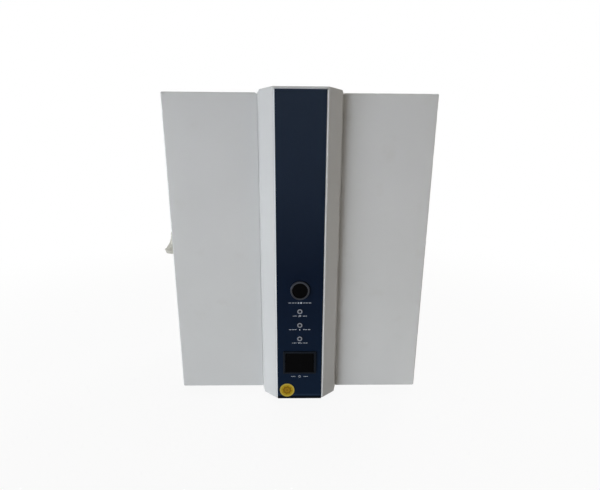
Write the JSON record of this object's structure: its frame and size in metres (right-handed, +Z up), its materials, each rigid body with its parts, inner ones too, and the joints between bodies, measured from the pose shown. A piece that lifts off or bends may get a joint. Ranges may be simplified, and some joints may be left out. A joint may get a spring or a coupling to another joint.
{
  "type": "water still",
  "caption": "Bench or wall water still: folded light grey casing with a projecting dark control column, side spout and water fittings, and a glass boiler and condenser inside.",
  "frame": {"origin": "on the surface the feet stand on, under the middle of the casing's width and of the whole depth", "axes": "+X to the right seen from the front, +Y from the control panel to the back plate, +Z up"},
  "size_m": [0.526, 0.2494, 0.5342],
  "materials": {
    "casing_paint": "satin light grey-white powder coat",
    "back_paint": "satin light grey powder coat",
    "roof_paint": "satin light grey-white powder coat",
    "tray_steel": "zinc-plated sheet",
    "panel_navy": "printed polycarbonate overlay, half gloss",
    "foot_rubber": "matte black",
    "screw_steel": "plain",
    "button_ring": "anodised grey, half gloss",
    "button_black": "half gloss black",
    "nut_plastic": "moulded black",
    "contact_plastic": "moulded grey",
    "lamp_ring": "bright",
    "lamp_lens": "unlit smoked lens",
    "board_green": "circuit board",
    "spacer_brass": "turned",
    "switch_rim": "fine-grained dark grey",
    "switch_black": "half gloss black",
    "boiler_glass": "clear borosilicate",
    "tube_glass": "clear borosilicate",
    "jacket_glass": "clear borosilicate",
    "gasket_silicone": "moulded silicone",
    "flange_steel": "turned stainless",
    "element_sheath": "heat-tinted sheath",
    "nut_brass": "plain",
    "saddle_rubber": "matte",
    "sleeve_silicone": "translucent silicone",
    "hose_silicone": "translucent silicone",
    "cap_plastic": "moulded white",
    "clamp_paint": "dark grey",
    "spout_cream": "moulded cream-grey",
    "valve_plastic": "moulded white",
    "coil_plastic": "moulded dark blue",
    "chamber_plastic": "moulded translucent white",
    "stem_steel": "polished",
    "float_plastic": "moulded red",
    "cock_brass": "nickel-worn",
    "spindle_chrome": "bright",
    "handle_paint": "dipped black",
    "rail_zinc": "zinc-plated",
    "contactor_plastic": "moulded dark grey",
    "terminal_plastic": "moulded grey",
    "gland_plastic": "moulded black",
    "sticker_gold": "glossy printed"
  },
  "bodies": {
    "casing": {"left_cover": "casing_paint", "right_cover": "casing_paint", "column_cover": "casing_paint", "control_panel": "panel_navy", "back_plate": "back_paint", "base_tray": "tray_steel", "roof_panel": "roof_paint", "rubber_feet": "foot_rubber", "foot_screws": "screw_steel", "cover_screws": "screw_steel", "roof_screws": "screw_steel", "partition_plate": "tray_steel", "button_bezel": "button_ring", "button_nut": "nut_plastic", "button_contact_block": "contact_plastic", "lamp_bezels": "lamp_ring", "lamp_lenses": "lamp_lens", "indicator_board": "board_green", "board_spacers": "spacer_brass", "rocker_bezel": "switch_rim", "boiler_vessel": "boiler_glass", "flange_gasket": "gasket_silicone", "clamp_ring": "flange_steel", "flange_bolts": "screw_steel", "heater_flange": "flange_steel", "heating_elements": "element_sheath", "element_nuts": "nut_brass", "boiler_saddles": "saddle_rubber", "vapour_tube": "tube_glass", "silicone_sleeves": "sleeve_silicone", "condenser_core": "tube_glass", "condenser_jacket": "jacket_glass", "condenser_caps": "cap_plastic", "condenser_clamps": "clamp_paint", "distillate_spout": "spout_cream", "inlet_valve": "valve_plastic", "valve_coil": "coil_plastic", "level_chamber": "chamber_plastic", "level_lid": "chamber_plastic", "float_stem": "stem_steel", "level_bracket": "tray_steel", "distillate_hose": "hose_silicone", "cooling_hose": "hose_silicone", "return_hose": "hose_silicone", "overflow_hose": "hose_silicone", "drain_hose": "hose_silicone", "waste_outlet": "valve_plastic", "drain_cock": "cock_brass", "din_rail": "rail_zinc", "contactor": "contactor_plastic", "terminal_blocks": "terminal_plastic", "cable_gland": "gland_plastic", "wall_nuts": "nut_brass", "round_sticker": "sticker_gold"},
    "switch": {"power_rocker": "switch_black"},
    "button": {"push_button": "button_black"},
    "drain_lever": {"drain_spindle": "spindle_chrome", "drain_handle": "handle_paint"},
    "float": {"level_float": "float_plastic"}
  },
  "joints": [
    {"name": "switch_tilt", "type": "hinge", "parent": "casing", "child": "switch", "pos_m": [0, -0.1208, 0.084], "axis": [1, 0, 0], "range_deg": [0, 10]},
    {"name": "button_press", "type": "slide", "parent": "casing", "child": "button", "axis": [0, 1, 0], "range_m": [0, 0.0015], "stiffness_N_per_m": 400},
    {"name": "drain_turn", "type": "hinge", "parent": "casing", "child": "drain_lever", "pos_m": [-0.232, 0.036, 0.033], "axis": [0, 0, 1], "range_deg": [0, 90]},
    {"name": "float_rise", "type": "slide", "parent": "casing", "child": "float", "axis": [0, 0, 1], "range_m": [0, 0.03]}
  ]
}
